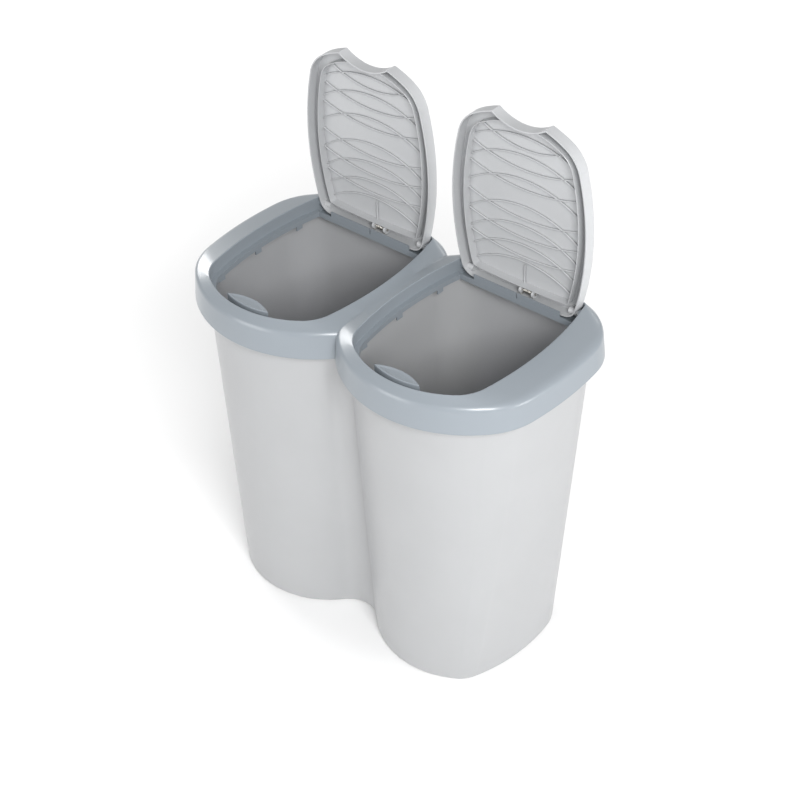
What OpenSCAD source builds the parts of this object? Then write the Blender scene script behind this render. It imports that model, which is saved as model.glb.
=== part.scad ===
// Double recycling bin: one tub with two pockets, a clip-on rim frame with two
// sprung flap lids and two push buttons. Millimetres, Z up, front towards -Y.
// The lids are drawn open, upright.

/* [Tub] */
// Distance between the centres of the two pockets
pitch = 252; // [250:1:256]
// Height of the tub's rim, on which the frame sits
rim_z = 477.5; // [440:0.5:500]
// Wall of the tub
tub_wall = 2.8; // [2:0.1:3.4]
// Thickness of each pocket's floor
floor_t = 4; // [3:0.5:8]
// Thickness of the rim flange
flange_t = 3; // [2:0.5:4]
// Half width of a pocket at the foot
foot_half = 106; // [102:1:108]
// Half width of a pocket at the rim
top_half = 140; // [136:1:141]
// Front of the foot, measured forwards from the middle
foot_front = 125.3; // [120:0.1:128]
// Front of the tub at the rim, measured forwards from the middle
top_front = 138; // [136:0.5:140]
// Back of the foot, measured backwards from the middle
foot_back = 112; // [105:1:118]
// Back of the tub at the rim, measured backwards from the middle
top_back = 147; // [144:0.5:148]
// Half thickness of the partition between the pockets at the rim
web_half = 3; // [2.8:0.1:4]
// Half thickness of the partition at the foot
web_foot_half = 24; // [20:1:28]

/* [Rim frame] */
// Half width of the skirt about each pocket's centre
skirt_half = 155; // [153:0.5:157]
// Front of the skirt, measured forwards from the middle
skirt_front = 153; // [151:0.5:156]
// Back of the skirt, measured backwards from the middle
skirt_back = 160; // [158:0.5:163]
// How far the skirt hangs below the tub's rim
skirt_drop = 20.5; // [16:0.5:30]
// Height above the rim at which the skirt's wall meets the slope of the dome
corner_rise = 16; // [15:0.5:17]
// How far below that corner the edge starts to round over
edge_drop = 7; // [5:0.5:9]
// How much further out the skirt stands at its lower edge
flare = 2.5; // [1:0.1:3.5]
// Wall of the frame
frame_wall = 2.5; // [2:0.1:3]
// Height of the lip round each opening above the tub's rim
lip_rise = 27; // [26.5:0.5:28]
// Half width of each opening at the lip
lip_half = 110.5; // [109.5:0.5:111]
// Front of each opening at the lip
lip_front = 139; // [138.5:0.5:140]
// Back of each opening at the lip
lip_back = 140; // [139.5:0.5:141]
// Depth from the lip to the ledge under the lid
ledge_depth = 19; // [18.6:0.1:19.5]
// Width of the ledge under the lid
ledge_w = 7; // [6.5:0.5:7]
// Thickness of the pot that forms the ledge
pot_wall = 2.2; // [1.8:0.1:2.4]
// Length of the bag hooks below the inner wall
hook_drop = 7; // [4:0.5:9]
// Width of a bag hook
hook_w = 11; // [8:0.5:14]
// Distance between the bag hooks
hook_step = 78; // [70:1:82]

/* [Lids] */
// Half width of a lid
lid_half = 106.5; // [106:0.5:107]
// Front of a closed lid, measured forwards from the middle
lid_front = 135; // [134:0.5:136]
// Back of a closed lid, measured backwards from the middle
lid_back = 134.5; // [134:0.1:134.8]
// Depth of the lid's outer wall, skin included
lid_depth = 18.5; // [17.5:0.1:18.6]
// Thickness of the lid's skin and walls
lid_wall = 2; // [1.6:0.1:2.4]
// Distance from the lid's edge to its inner flange
flange_inset = 15; // [13:0.5:17]
// How much the inner flange falls short of the outer wall
flange_short = 4.5; // [3:0.5:6]
// Half width of the finger notch
notch_half = 41; // [40:0.5:42]
// Depth of the finger notch
notch_depth = 13; // [12:0.5:14]
// Width of an underside rib
rib_w = 1.3; // [1:0.1:2]
// Height of an underside rib
rib_h = 3; // [2:0.5:5]
// Angle by which the lids stand open
open_angle = 90; // [0:5:90]

/* [Hinges] */
// Depth of the hinge axis below the lip
hinge_depth = 9.5; // [9.2:0.1:9.8]
// Distance of the hinge axis behind the middle
hinge_y = 125; // [124.6:0.1:125.4]
// Diameter of the trunnion pins
trunnion_d = 5; // [4:0.5:6]
// Clearance round a trunnion
trunnion_gap = 0.08; // [0.05:0.01:0.1]
// Diameter of the steel spring pin
pin_d = 4; // [3:0.5:4.5]
// Wire of the lid spring
wire_d = 1.3; // [1:0.1:1.4]
// Number of curls in the lid spring
curls = 6; // [4:1:7]
// Pitch of the curls
curl_pitch = 2.1; // [2:0.1:2.3]

/* [Push buttons] */
// Half length of a button
button_half = 36.3; // [34:0.1:37]
// Front of a button, measured forwards from the middle
button_front = 133; // [132.5:0.1:133.5]
// How far the button's tips lie behind its front
button_bow = 6.4; // [6:0.1:7]
// How far the button stands above the lip
button_rise = 1; // [0.5:0.1:2]
// Height of the button without its stem
button_h = 15.5; // [14:0.5:16]
// Travel of the button
button_travel = 3.5; // [2:0.5:3.5]

/* [Hidden] */

// One overrun for all cuts
over = 1;
// Clearance between parts that slide past each other
slide_gap = 0.4;
half_pitch = pitch / 2;

// Heights, worked out from the tub's rim
skirt_z = rim_z - skirt_drop;
corner_z = rim_z + corner_rise;
lip_z = rim_z + lip_rise;
lip_top = lip_z + edge_drop;
hinge_z = lip_z - hinge_depth;
button_z = lip_z + button_rise;
button_base_z = button_z - button_h;

// Radii of the outlines. Each outline is [front, front radius, half width, side
// radius, centre of the side arc, back, back radius, front corner, back corner].
side_y = 25;
skirt_front_r = 172;
skirt_side_r = 480;
skirt_back_r = 340;
skirt_corner_r = 95;
skirt_rear_corner_r = 80;
skirt_o = [-skirt_front, skirt_front_r, skirt_half, skirt_side_r, side_y,
    skirt_back, skirt_back_r, skirt_corner_r, skirt_rear_corner_r];
tub_inset = 15;
top_o = [-top_front, skirt_front_r - tub_inset, top_half, skirt_side_r - tub_inset, side_y,
    top_back, skirt_back_r - tub_inset, skirt_corner_r - tub_inset,
    skirt_rear_corner_r - tub_inset];
foot_front_r = 128.5;
foot_side_r = 254;
foot_side_y = 14.7;
foot_back_r = 211;
foot_corner_r = 42;
foot_rear_corner_r = 60;
foot_o = [-foot_front, foot_front_r, foot_half, foot_side_r, foot_side_y,
    foot_back, foot_back_r, foot_corner_r, foot_rear_corner_r];
lip_front_r = 142;
lip_side_r = 480;
lip_side_y = 12;
lip_back_r = 1800;
lip_corner_r = 55;
lip_rear_corner_r = 8;
lip_o = [-lip_front, lip_front_r, lip_half, lip_side_r, lip_side_y,
    lip_back, lip_back_r, lip_corner_r, lip_rear_corner_r];
lid_gap_r = 2.5;
lid_side_r = 400;
lid_back_r = 1200;
lid_rear_corner_r = 20;
lid_o = [-lid_front, lip_front_r - lid_gap_r, lid_half, lid_side_r, lip_side_y,
    lid_back, lid_back_r, lip_corner_r - lid_gap_r, lid_rear_corner_r];
// Fillets in the valleys between the two lobes
skirt_valley_r = 1;
tub_valley_r = 29;
foot_valley_r = 42;
rear_valley_r = 22;

// Steps along each arc of an outline
n_front = 7;
n_corner = 6;
n_side = 5;
n_back = 4;
n_valley = 4;
n_round = 4;

function crossing(c1, r1, c2, r2, side) =
    let (d = c2 - c1, len = norm(d), x = (r1 * r1 - r2 * r2 + len * len) / (2 * len),
        h = sqrt(max(0, r1 * r1 - x * x)), u = d / len)
    c1 + u * x + side * h * [-u[1], u[0]];
function heading(c, p) = atan2(p[1] - c[1], p[0] - c[0]);
function arc(c, r, a, b, n) =
    [for (i = [0:n - 1]) c + r * [cos(a + (b - a) * i / n), sin(a + (b - a) * i / n)]];
function mix(a, b, t) = a + (b - a) * t;
function flip(points) = [for (i = [len(points) - 1:-1:0]) [-points[i][0], points[i][1]]];
function inner(points) = [for (i = [1:len(points) - 2]) points[i]];

// Right half of a lobe, from its front to its back, drawn in by d
function half_lobe(o, d) =
    let (cf = [0, o[0] + o[1]], cs = [o[2] - o[3], o[4]], cb = [0, o[5] - o[6]],
        k1 = crossing(cf, o[1] - o[7], cs, o[3] - o[7], 1),
        k2 = crossing(cs, o[3] - o[8], cb, o[6] - o[8], 1),
        a1 = heading(cf, k1), a2 = heading(cs, k1), a3 = heading(cs, k2), a4 = heading(cb, k2))
    concat(arc(cf, o[1] - d, -90, a1, n_front), arc(k1, o[7] - d, a1, a2, n_corner),
        arc(cs, o[3] - d, a2, a3, n_side), arc(k2, o[8] - d, a3, a4, n_corner),
        arc(cb, o[6] - d, a4, 90, n_back), [[0, o[5] - d]]);
function lobe(o, d) = let (h = half_lobe(o, d)) concat(h, inner(flip(h)));

// Outline round both lobes, with a filleted valley in front and behind
function double_lobe(o, d, rv, rb) =
    let (cf = [half_pitch, o[0] + o[1]], cb = [half_pitch, o[5] - o[6]],
        v = [0, cf[1] - sqrt(pow(o[1] + rv, 2) - half_pitch * half_pitch)],
        w = [0, cb[1] + sqrt(pow(o[6] + rb, 2) - half_pitch * half_pitch)],
        av = heading(cf, v), aw = heading(cb, w), h = half_lobe(o, d),
        right = concat(arc(v, rv + d, 90, av + 180, n_valley),
            arc(cf, o[1] - d, av, -90, n_front),
            [for (p = h) p + [half_pitch, 0]],
            inner(arc(cb, o[6] - d, 90, aw, n_back)),
            arc(w, rb + d, aw - 180, -90, n_valley), [[0, w[1] - rb - d]]))
    concat(right, inner(flip(right)));

mid_y = (skirt_back - skirt_front) / 2;
function at_z(points, z) = [for (p = points) [p[0], p[1], z]];

// Solid through rings of equally many points, from the lowest to the highest
module loft(rings) {
    n = len(rings[0]);
    m = len(rings);
    polyhedron(points = [for (r = rings) each r],
        faces = concat([[for (j = [0:n - 1]) j]], [[for (j = [n - 1:-1:0]) (m - 1) * n + j]],
            [for (i = [0:m - 2]) for (j = [0:n - 1]) each let (k = (j + 1) % n)
                [[i * n + j, (i + 1) * n + j, (i + 1) * n + k],
                [i * n + j, (i + 1) * n + k, i * n + k]]]));
}

// Puts the part's middle on the axis
module centred() {
    translate([0, -mid_y, 0])
        children();
}

module both_sides() {
    for (side = [-1, 1])
        translate([side * half_pitch, 0, 0])
            children();
}

// Tub
function tub_o(z) = mix(foot_o, top_o, z / rim_z);
function tub_valley(z) = mix(foot_valley_r, tub_valley_r, z / rim_z);
function pocket_ring(z, side, d) =
    let (o = tub_o(z), web = mix(web_foot_half, web_half, z / rim_z) + tub_wall / 2,
        reach = half_pitch - web + tub_wall,
        outer = half_lobe(o, d),
        near = half_lobe([o[0], o[1], reach, o[3], o[4], o[5], o[6], o[7], o[8]], d),
        ring = concat(outer, inner(flip(near))))
    [for (p = ring) [side * (p[0] + half_pitch), p[1], z]];
function turned(points, side) =
    side > 0 ? points : [for (i = [len(points) - 1:-1:0]) points[i]];
n_level = 4;
hollow_roof = 8;

// Both pockets between two heights, d inside the tub's outline
module pockets(d, z1, z2) {
    for (side = [-1, 1])
        loft([for (i = [0:n_level]) turned(pocket_ring(mix(z1, z2, i / n_level), side, d), side)]);
}

module tub_solid(d, z1, z2) {
    loft([for (i = [0:n_level]) let (z = mix(z1, z2, i / n_level))
        at_z(double_lobe(tub_o(z), d, tub_valley(z), rear_valley_r), z)]);
}

// Hollow between the pockets' walls, open at the foot
module partition_hollow() {
    difference() {
        tub_solid(tub_wall, -over, rim_z - flange_t - hollow_roof);
        pockets(0, -2 * over, rim_z - flange_t);
    }
}

module tub() {
    color("gainsboro")
    centred()
    resize([2 * (half_pitch + skirt_half - frame_wall - over), 0, 0])
    difference() {
        union() {
            tub_solid(0, 0, rim_z - flange_t / 2);
            loft([for (z = [rim_z - flange_t, rim_z])
                at_z(double_lobe(skirt_o, frame_wall + over, skirt_valley_r, skirt_valley_r), z)]);
        }
        pockets(tub_wall, floor_t, rim_z + over);
        partition_hollow();
    }
}

// Rim frame
ledge_z = lip_z - ledge_depth;
ledge_under_z = ledge_z - pot_wall;
inner_wall_z = rim_z + slide_gap;
shoulder_in = 12;
round_share = 0.28;
roof_t = frame_wall + slide_gap;
band_in = 12;
band_y = hinge_y - band_in;
trough_drop = 14.2;
trough_z = hinge_z - trough_drop;
band_top_z = hinge_z - over;
socket_reach = 101;
socket_r = 5.5;
socket_start = 93;
slot_w = 1.8;
slot_place = 1;
band_half = 70;
pot_foot_share = 0.8;
trough_in = 0.4;
lip_land = 0.6;
hook_in_share = 0.7;
stem_w = 30;
stem_t = 8.5;
stem_y = -122.5;
stem_len = 32;
cup_wall = 2;
cup_half = stem_w / 2 + slide_gap + cup_wall;
cup_front_y = stem_y - stem_t / 2 - slide_gap - cup_wall;
lug_y = ledge_w - lip_front + slide_gap * 1.5;
lug_overlap = 4;
cup_drop = 12;
cup_top_z = ledge_z - cup_drop;
cup_floor_z = button_base_z - stem_len - button_travel - 2 * over;
button_spring_d = 5.4;
button_spring_bore = 6.4;
button_spring_len = 14;
button_spring_top_z = button_base_z - stem_len + button_spring_len;

function between(a, b, t) = [for (i = [0:len(a) - 1]) mix(a[i], b[i], t)];

// Outer form of one lobe: flared skirt, rounded edge and a slope up to the lip
module dome() {
    wall = lobe(skirt_o, 0);
    lip = lobe(lip_o, -lip_land);
    loft(concat([at_z(lobe(skirt_o, -flare), skirt_z)],
        [for (i = [0:n_round]) let (t = i / n_round, rise = t * t * round_share)
            at_z(between(wall, lip, rise),
                mix(corner_z, lip_z, rise) - edge_drop * (1 - t) * (1 - t))],
        [at_z(lip, lip_z)]));
}

module crown_hollow() {
    loft([at_z(lobe(skirt_o, shoulder_in), rim_z - over),
        at_z(lobe(skirt_o, shoulder_in), corner_z + over / 2),
        at_z(lobe(lip_o, -pot_wall / 2), lip_z - roof_t)]);
}

module lip_prism(d, z1, z2) {
    translate([0, 0, z1])
        linear_extrude(height = z2 - z1)
            polygon(lobe(lip_o, d));
}

module slab(x1, x2, y1, y2, z1, z2) {
    translate([x1, y1, z1])
        cube([x2 - x1, y2 - y1, z2 - z1]);
}

module x_cylinder(x1, x2, r, y, z) {
    translate([x1, y, z])
        rotate([0, 90, 0])
            cylinder(h = x2 - x1, r = r, $fn = 48);
}

// Cylinders on the hinge axis at both ends of a lid
module sockets(x1, x2, r) {
    x_cylinder(x1, x2, r, hinge_y, hinge_z);
    x_cylinder(-x2, -x1, r, hinge_y, hinge_z);
}

// Pot that forms the ledge, the inner wall and the hinge trough of one lobe
module pot() {
    lip_prism(-pot_wall, ledge_under_z, lip_z - roof_t * pot_foot_share);
    lip_prism(ledge_w - pot_wall, inner_wall_z, ledge_under_z + pot_wall / 2);
    intersection() {
        lip_prism(-pot_wall * pot_foot_share, trough_z - cup_wall, lip_z - roof_t * 2);
        slab(-half_pitch, half_pitch, band_y, skirt_back, trough_z - cup_wall, lip_z);
    }
    slab(-cup_half, cup_half, cup_front_y, stem_y + stem_t / 2 + slide_gap + cup_wall,
        cup_floor_z - cup_wall, cup_top_z);
    slab(over - cup_half, cup_half - over, lug_y - cup_wall, lug_y, cup_top_z - lug_overlap,
        ledge_under_z + over);
    slab(2 * over - cup_half, cup_half - 2 * over, lug_y - over, cup_front_y + cup_wall / 2,
        cup_top_z - lug_overlap + over, cup_top_z - over);
}

module pot_cuts() {
    lip_prism(0, ledge_z, lip_top);
    intersection() {
        lip_prism(ledge_w, cup_top_z, ledge_z + over);
        slab(-half_pitch, half_pitch, -skirt_front, band_y, cup_top_z, ledge_z + over);
    }
    intersection() {
        lip_prism(trough_in, trough_z, lip_top);
        slab(-half_pitch, half_pitch, band_y + pot_wall, skirt_back, trough_z, lip_top);
    }
    slab(-stem_w / 2 - slide_gap, stem_w / 2 + slide_gap, stem_y - stem_t / 2 - slide_gap,
        stem_y + stem_t / 2 + slide_gap, cup_floor_z, cup_top_z + over);
}

// Wall between the opening and the hinge trough, slotted for the knuckle
module hinge_band() {
    difference() {
        slab(-band_half, band_half, band_y + trough_in / 2, band_y + pot_wall - trough_in / 2,
            trough_z - cup_wall / 2, band_top_z);
        slab(slot_place - slot_w / 2, slot_place + slot_w / 2, band_y - over,
            band_y + pot_wall + over, trough_z + over, lip_z);
    }
}

module bag_hooks() {
    for (side = [-1, 1])
        for (i = [-1:1]) {
            y = i * hook_step + slot_w;
            x = max([for (p = half_lobe(lip_o, ledge_w)) abs(p[1] - y) < hook_w ? p[0] : 0]);
            translate([side * (x + pot_wall * hook_in_share), y, inner_wall_z - hook_drop])
                linear_extrude(height = hook_drop + pot_wall)
                    square([pot_wall, hook_w], center = true);
        }
}

module frame_shell() {
    difference() {
        union() {
            difference() {
                both_sides()
                    dome();
                loft([at_z(double_lobe(skirt_o, frame_wall - flare, skirt_valley_r,
                        skirt_valley_r), skirt_z - over),
                    at_z(double_lobe(skirt_o, frame_wall, skirt_valley_r, skirt_valley_r), rim_z)]);
                both_sides()
                    crown_hollow();
            }
            both_sides() {
                pot();
                bag_hooks();
                sockets(socket_start, socket_reach + pot_wall, socket_r + over);
            }
        }
        both_sides()
            pot_cuts();
    }
    both_sides() {
        hinge_band();
        sockets(socket_start, socket_reach, socket_r);
    }
}

module rim_frame() {
    color("lightslategray")
    centred()
    difference() {
        resize([2 * (half_pitch + skirt_half + flare), 0, 0])
            frame_shell();
        both_sides()
            sockets(half_pitch / 2, socket_reach, trunnion_d / 2 + trunnion_gap);
    }
}

// Lids, drawn closed about the pocket's centre and then turned open
notch_r = (notch_half * notch_half + notch_depth * notch_depth) / (2 * notch_depth);
notch_tip_y = -lid_front + lip_front_r - lid_gap_r
    - sqrt(pow(lip_front_r - lid_gap_r, 2) - notch_half * notch_half);
notch_y = notch_tip_y + notch_depth - notch_r;
lid_top = lip_z;
lid_under = lid_top - lid_wall;
rim_under = lid_top - lid_depth;
gusset_len = 35;
knuckle_pitch = 20;
knuckle_x = [slot_place, slot_place + knuckle_pitch];
knuckle_t = 3;
knuckle_r = 5.9;
trunnion_reach = socket_reach - over;
boss_in = 78;
boss_out = 90;
boss_r = 4.5;

module lid_prism(d, z1, z2) {
    translate([0, 0, z1])
        linear_extrude(height = z2 - z1)
            polygon(lobe(lid_o, d));
}

module notch(grow, z1, z2) {
    translate([0, notch_y, z1])
        cylinder(h = z2 - z1, r = notch_r + grow, $fn = 96);
}

module inset_notched(d, z1, z2) {
    difference() {
        lid_prism(d, z1, z2);
        notch(d, z1 - over, z2 + over);
    }
}

// Ribs that rise towards the middle and ribs that sag, as shares of the lid's
// length from the hinge: left end, middle, right end
arch_rib_shares = [[0.75, 0.86, 0.75], [0.64, 0.755, 0.64], [0.505, 0.62, 0.505],
    [0.345, 0.47, 0.345], [0.23, 0.355, 0.23], [0.115, 0.245, 0.115], [0.025, 0.15, 0.025]];
sag_rib_shares = [[0.925, 0.79, 0.925], [0.755, 0.675, 0.755], [0.63, 0.565, 0.63],
    [0.46, 0.395, 0.46], [0.345, 0.285, 0.345], [0.225, 0.175, 0.225]];
lid_len = lid_front + hinge_y;

function centre_of(a, b, c) =
    let (d = 2 * (a[0] * (b[1] - c[1]) + b[0] * (c[1] - a[1]) + c[0] * (a[1] - b[1])))
    [(a * a * (b[1] - c[1]) + b * b * (c[1] - a[1]) + c * c * (a[1] - b[1])) / d,
        (a * a * (c[0] - b[0]) + b * b * (a[0] - c[0]) + c * c * (b[0] - a[0])) / d];

module rib(s) {
    w = lid_half - flange_inset;
    ends = [for (i = [0:2]) [(i - 1) * w, hinge_y - s[i] * lid_len]];
    c = centre_of(ends[0], ends[1], ends[2]);
    r = norm(c - ends[1]);
    translate(c)
        difference() {
            circle(r = r + rib_w / 2, $fn = 240);
            circle(r = r - rib_w / 2, $fn = 240);
        }
}

module lid_ribs() {
    intersection() {
        difference() {
            lid_prism(flange_inset + lid_wall / 4, lid_under - rib_h, lid_under + lid_wall / 4);
            notch(lid_wall / 2, lid_under - rib_h - over, lid_top);
        }
        translate([0, 0, lid_under - rib_h])
            linear_extrude(height = rib_h + lid_wall / 4)
                union() {
                    for (s = concat(arch_rib_shares, sag_rib_shares))
                        rib(s);
                    translate([knuckle_x[0] - rib_w / 2, hinge_y - gusset_len])
                        square([rib_w, gusset_len]);
                }
    }
}

module lid_shell() {
    difference() {
        inset_notched(0, rim_under, lid_top);
        inset_notched(lid_wall, rim_under - over, lid_under);
    }
    difference() {
        lid_prism(flange_inset, rim_under + flange_short, lid_under + lid_wall / 2);
        lid_prism(flange_inset + lid_wall / 2, rim_under, lid_under);
        notch(lid_wall / 2, rim_under, lid_top);
    }
}

module closed_lid() {
    difference() {
        union() {
            lid_shell();
            lid_ribs();
            for (x = knuckle_x) {
                x_cylinder(x - knuckle_t / 2, x + knuckle_t / 2, knuckle_r, hinge_y, hinge_z);
                slab(x - knuckle_t / 2, x + knuckle_t / 2, hinge_y - knuckle_r, hinge_y + knuckle_r,
                    hinge_z, lid_under + lid_wall / 2);
            }
        }
        x_cylinder(-half_pitch / 2, half_pitch / 2, pin_d / 2, hinge_y, hinge_z);
    }
    sockets(boss_in, boss_out, boss_r);
    sockets(boss_in, trunnion_reach, trunnion_d / 2);
    for (side = [-1, 1])
        translate([side * (boss_in + knuckle_t / 2), 0, 0])
            slab(-knuckle_t / 2, knuckle_t / 2, hinge_y - boss_r, hinge_y + boss_r,
                hinge_z, lid_under + lid_wall / 2);
}

// Turns what is drawn closed to its open place over one pocket
module opened(side) {
    translate([side * half_pitch, hinge_y, hinge_z])
        rotate([-open_angle, 0, 0])
            translate([0, -hinge_y, -hinge_z])
                children();
}

module lid(side) {
    color("silver")
    centred()
    opened(side)
        closed_lid();
}

// Hinge springs and their pins
pin_reach = 1.2;

module spring_pin(side) {
    color("gainsboro")
    centred()
    opened(side)
        x_cylinder(knuckle_x[0] - knuckle_t / 2 - pin_reach, knuckle_x[1] + knuckle_t / 2 + pin_reach,
            pin_d / 2, hinge_y, hinge_z);
}

coil_r = pin_d / 2 + wire_d / 2 + slide_gap;
coil_rings = 8;
coil_sides = 6;
coil_start = (knuckle_x[0] + knuckle_x[1]) / 2 - curls * curl_pitch / 2;

function coil_point(i) = let (t = i / coil_rings)
    [coil_start + t * curl_pitch, coil_r * cos(360 * t), coil_r * sin(360 * t)];
leg_len = 5.2;
function coil_ring(i) = let (t = i / coil_rings, c = coil_point(i))
    [for (k = [0:coil_sides - 1]) let (a = 360 * k / coil_sides)
        c + wire_d / 2 * [cos(a), sin(a) * cos(360 * t), sin(a) * sin(360 * t)]];
coil_gap = min([for (i = [0:coil_rings]) norm(coil_point(i) - coil_point(i + coil_rings))]) - wire_d;
echo(coil_gap = coil_gap);

module lid_spring(side) {
    color("darkgray")
    centred()
    opened(side)
        translate([0, hinge_y, hinge_z])
            loft(concat([[for (p = coil_ring(0)) p - [0, 0, leg_len]]],
                [for (i = [0:curls * coil_rings]) coil_ring(i)],
                [[for (p = coil_ring(curls * coil_rings)) p + [0, 0, leg_len]]]));
}

// Push buttons
button_front_r = (button_half * button_half + button_bow * button_bow) / (2 * button_bow);
notch_clear = 0.7;
button_rim_t = 1.4;
dish_depth = 1.5;

// Leaf between a bowed front and a back that follows the lid's notch
module leaf(inset, z1, z2) {
    intersection() {
        translate([0, button_front_r - button_front, z1])
            cylinder(h = z2 - z1, r = button_front_r - inset, $fn = 180);
        translate([0, notch_y, z1])
            cylinder(h = z2 - z1, r = notch_r - notch_clear - inset, $fn = 96);
    }
}

module button_body() {
    difference() {
        leaf(0, button_base_z, button_z);
        leaf(button_rim_t, button_z - dish_depth, button_z + over);
    }
    slab(-stem_w / 2, stem_w / 2, stem_y - stem_t / 2, stem_y + stem_t / 2,
        button_base_z - stem_len, button_base_z + over);
}

module push_button(side) {
    color("lightslategray")
    centred()
    translate([side * half_pitch, 0, 0])
        difference() {
            button_body();
            translate([0, stem_y, button_base_z - stem_len - over])
                cylinder(h = button_spring_top_z - button_base_z + stem_len + over,
                    r = button_spring_bore / 2, $fn = 48);
        }
}

module button_spring(side) {
    color("darkgray")
    centred()
    translate([side * half_pitch, stem_y, cup_floor_z])
        difference() {
            cylinder(h = button_spring_top_z - cup_floor_z, r = button_spring_d / 2, $fn = 48);
            translate([0, 0, -over])
                cylinder(h = button_spring_top_z - cup_floor_z + 2 * over,
                    r = button_spring_d / 2 - wire_d, $fn = 48);
        }
}

tub();
rim_frame();
lid(-1);  // left_lid
lid(1);  // right_lid
spring_pin(-1);  // left_spring_pin
spring_pin(1);  // right_spring_pin
lid_spring(-1);  // left_lid_spring
lid_spring(1);  // right_lid_spring
push_button(-1);  // left_push_button
push_button(1);  // right_push_button
button_spring(-1);  // left_button_spring
button_spring(1);  // right_button_spring
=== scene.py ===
# %% [markdown]
# # A double recycling bin
# The bin is a pale tub with two pockets, a blue-grey frame that clips over its rim, two
# flap lids that stand open, and a push button in front of each opening. This lesson
# builds its visible shells from a few outlines, and gives every surface a plastic or
# steel finish. The bin's sizes are in millimetres until a mesh is made, and the floor,
# lamps and materials are in metres.

# %% Load the frame
import math

import bmesh
import bpy
from mathutils import Matrix, Vector


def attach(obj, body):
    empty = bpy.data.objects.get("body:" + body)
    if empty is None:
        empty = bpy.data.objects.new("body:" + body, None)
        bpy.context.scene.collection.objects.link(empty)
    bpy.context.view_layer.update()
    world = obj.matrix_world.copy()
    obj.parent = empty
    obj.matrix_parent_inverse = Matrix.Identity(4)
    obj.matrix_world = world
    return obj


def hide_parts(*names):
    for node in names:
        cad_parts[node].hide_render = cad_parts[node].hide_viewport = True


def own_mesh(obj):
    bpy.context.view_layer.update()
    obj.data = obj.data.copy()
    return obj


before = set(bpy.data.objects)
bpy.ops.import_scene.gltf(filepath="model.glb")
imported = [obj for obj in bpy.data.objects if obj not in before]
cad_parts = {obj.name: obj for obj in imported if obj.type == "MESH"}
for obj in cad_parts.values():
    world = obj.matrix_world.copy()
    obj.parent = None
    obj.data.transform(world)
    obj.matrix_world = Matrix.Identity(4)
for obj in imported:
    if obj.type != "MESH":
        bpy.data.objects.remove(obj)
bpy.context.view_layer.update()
MM = 0.001
SIDES = {"left": -1, "right": 1}
print("CAD pieces:", sorted(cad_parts))

# %% [markdown]
# ## Outlines made of tangent arcs
# Seen from above, each half of the bin is a soft rounded lobe: a bowed front, bowed
# sides and a bowed back, joined by rounded corners. Arcs that meet in a tangent give a
# smooth wall with even highlights, and drawing such an outline in by a distance only
# changes the radii. So two functions, one for a lobe and one for both together, give the
# walls, ledges and edges of the bin.

# %% Outline functions
STEPS = {"front": 20, "corner": 16, "side": 16, "back": 14, "valley": 10}


def crossing(c1, r1, c2, r2):
    """The meeting point of two circles, on the left of the way from one to the other."""
    dx, dy = c2[0] - c1[0], c2[1] - c1[1]
    length = math.hypot(dx, dy)
    along = (r1 * r1 - r2 * r2 + length * length) / (2 * length)
    away = math.sqrt(max(0.0, r1 * r1 - along * along))
    ux, uy = dx / length, dy / length
    return (c1[0] + ux * along - uy * away, c1[1] + uy * along + ux * away)


def heading(c, p):
    return math.atan2(p[1] - c[1], p[0] - c[0])


def arc(c, r, a, b, steps):
    turn = [a + (b - a) * i / steps for i in range(steps)]
    return [(c[0] + r * math.cos(t), c[1] + r * math.sin(t)) for t in turn]


def flip(points):
    return [(-x, y) for x, y in reversed(points)]


def mix(a, b, t):
    return a + (b - a) * t


def outline(front, side, back, corners):
    """Reach and radius of each bow, with the y of the side's middle, and both corner radii."""
    return dict(
        front=front[0], front_r=front[1], half=side[0], side_r=side[1], side_y=side[2],
        back=back[0], back_r=back[1], corner_r=corners[0], rear_r=corners[1],
    )


def mix_outline(a, b, t):
    return {key: mix(a[key], b[key], t) for key in a}


def half_lobe(o, d):
    """Right half of a lobe, from its front to its back, drawn in by d."""
    front = (0, -o["front"] + o["front_r"])
    side = (o["half"] - o["side_r"], o["side_y"])
    back = (0, o["back"] - o["back_r"])
    k1 = crossing(front, o["front_r"] - o["corner_r"], side, o["side_r"] - o["corner_r"])
    k2 = crossing(side, o["side_r"] - o["rear_r"], back, o["back_r"] - o["rear_r"])
    a1, a2 = heading(front, k1), heading(side, k1)
    a3, a4 = heading(side, k2), heading(back, k2)
    points = arc(front, o["front_r"] - d, -math.pi / 2, a1, STEPS["front"])
    points += arc(k1, o["corner_r"] - d, a1, a2, STEPS["corner"])
    points += arc(side, o["side_r"] - d, a2, a3, STEPS["side"])
    points += arc(k2, o["rear_r"] - d, a3, a4, STEPS["corner"])
    points += arc(back, o["back_r"] - d, a4, math.pi / 2, STEPS["back"])
    return points + [(0, o["back"] - d)]


def lobe(o, d=0.0):
    half = half_lobe(o, d)
    return half + flip(half)[1:-1]


print("steps along each arc:", STEPS)

# %% One outline round both lobes
HALF_PITCH = 126.0


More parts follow.
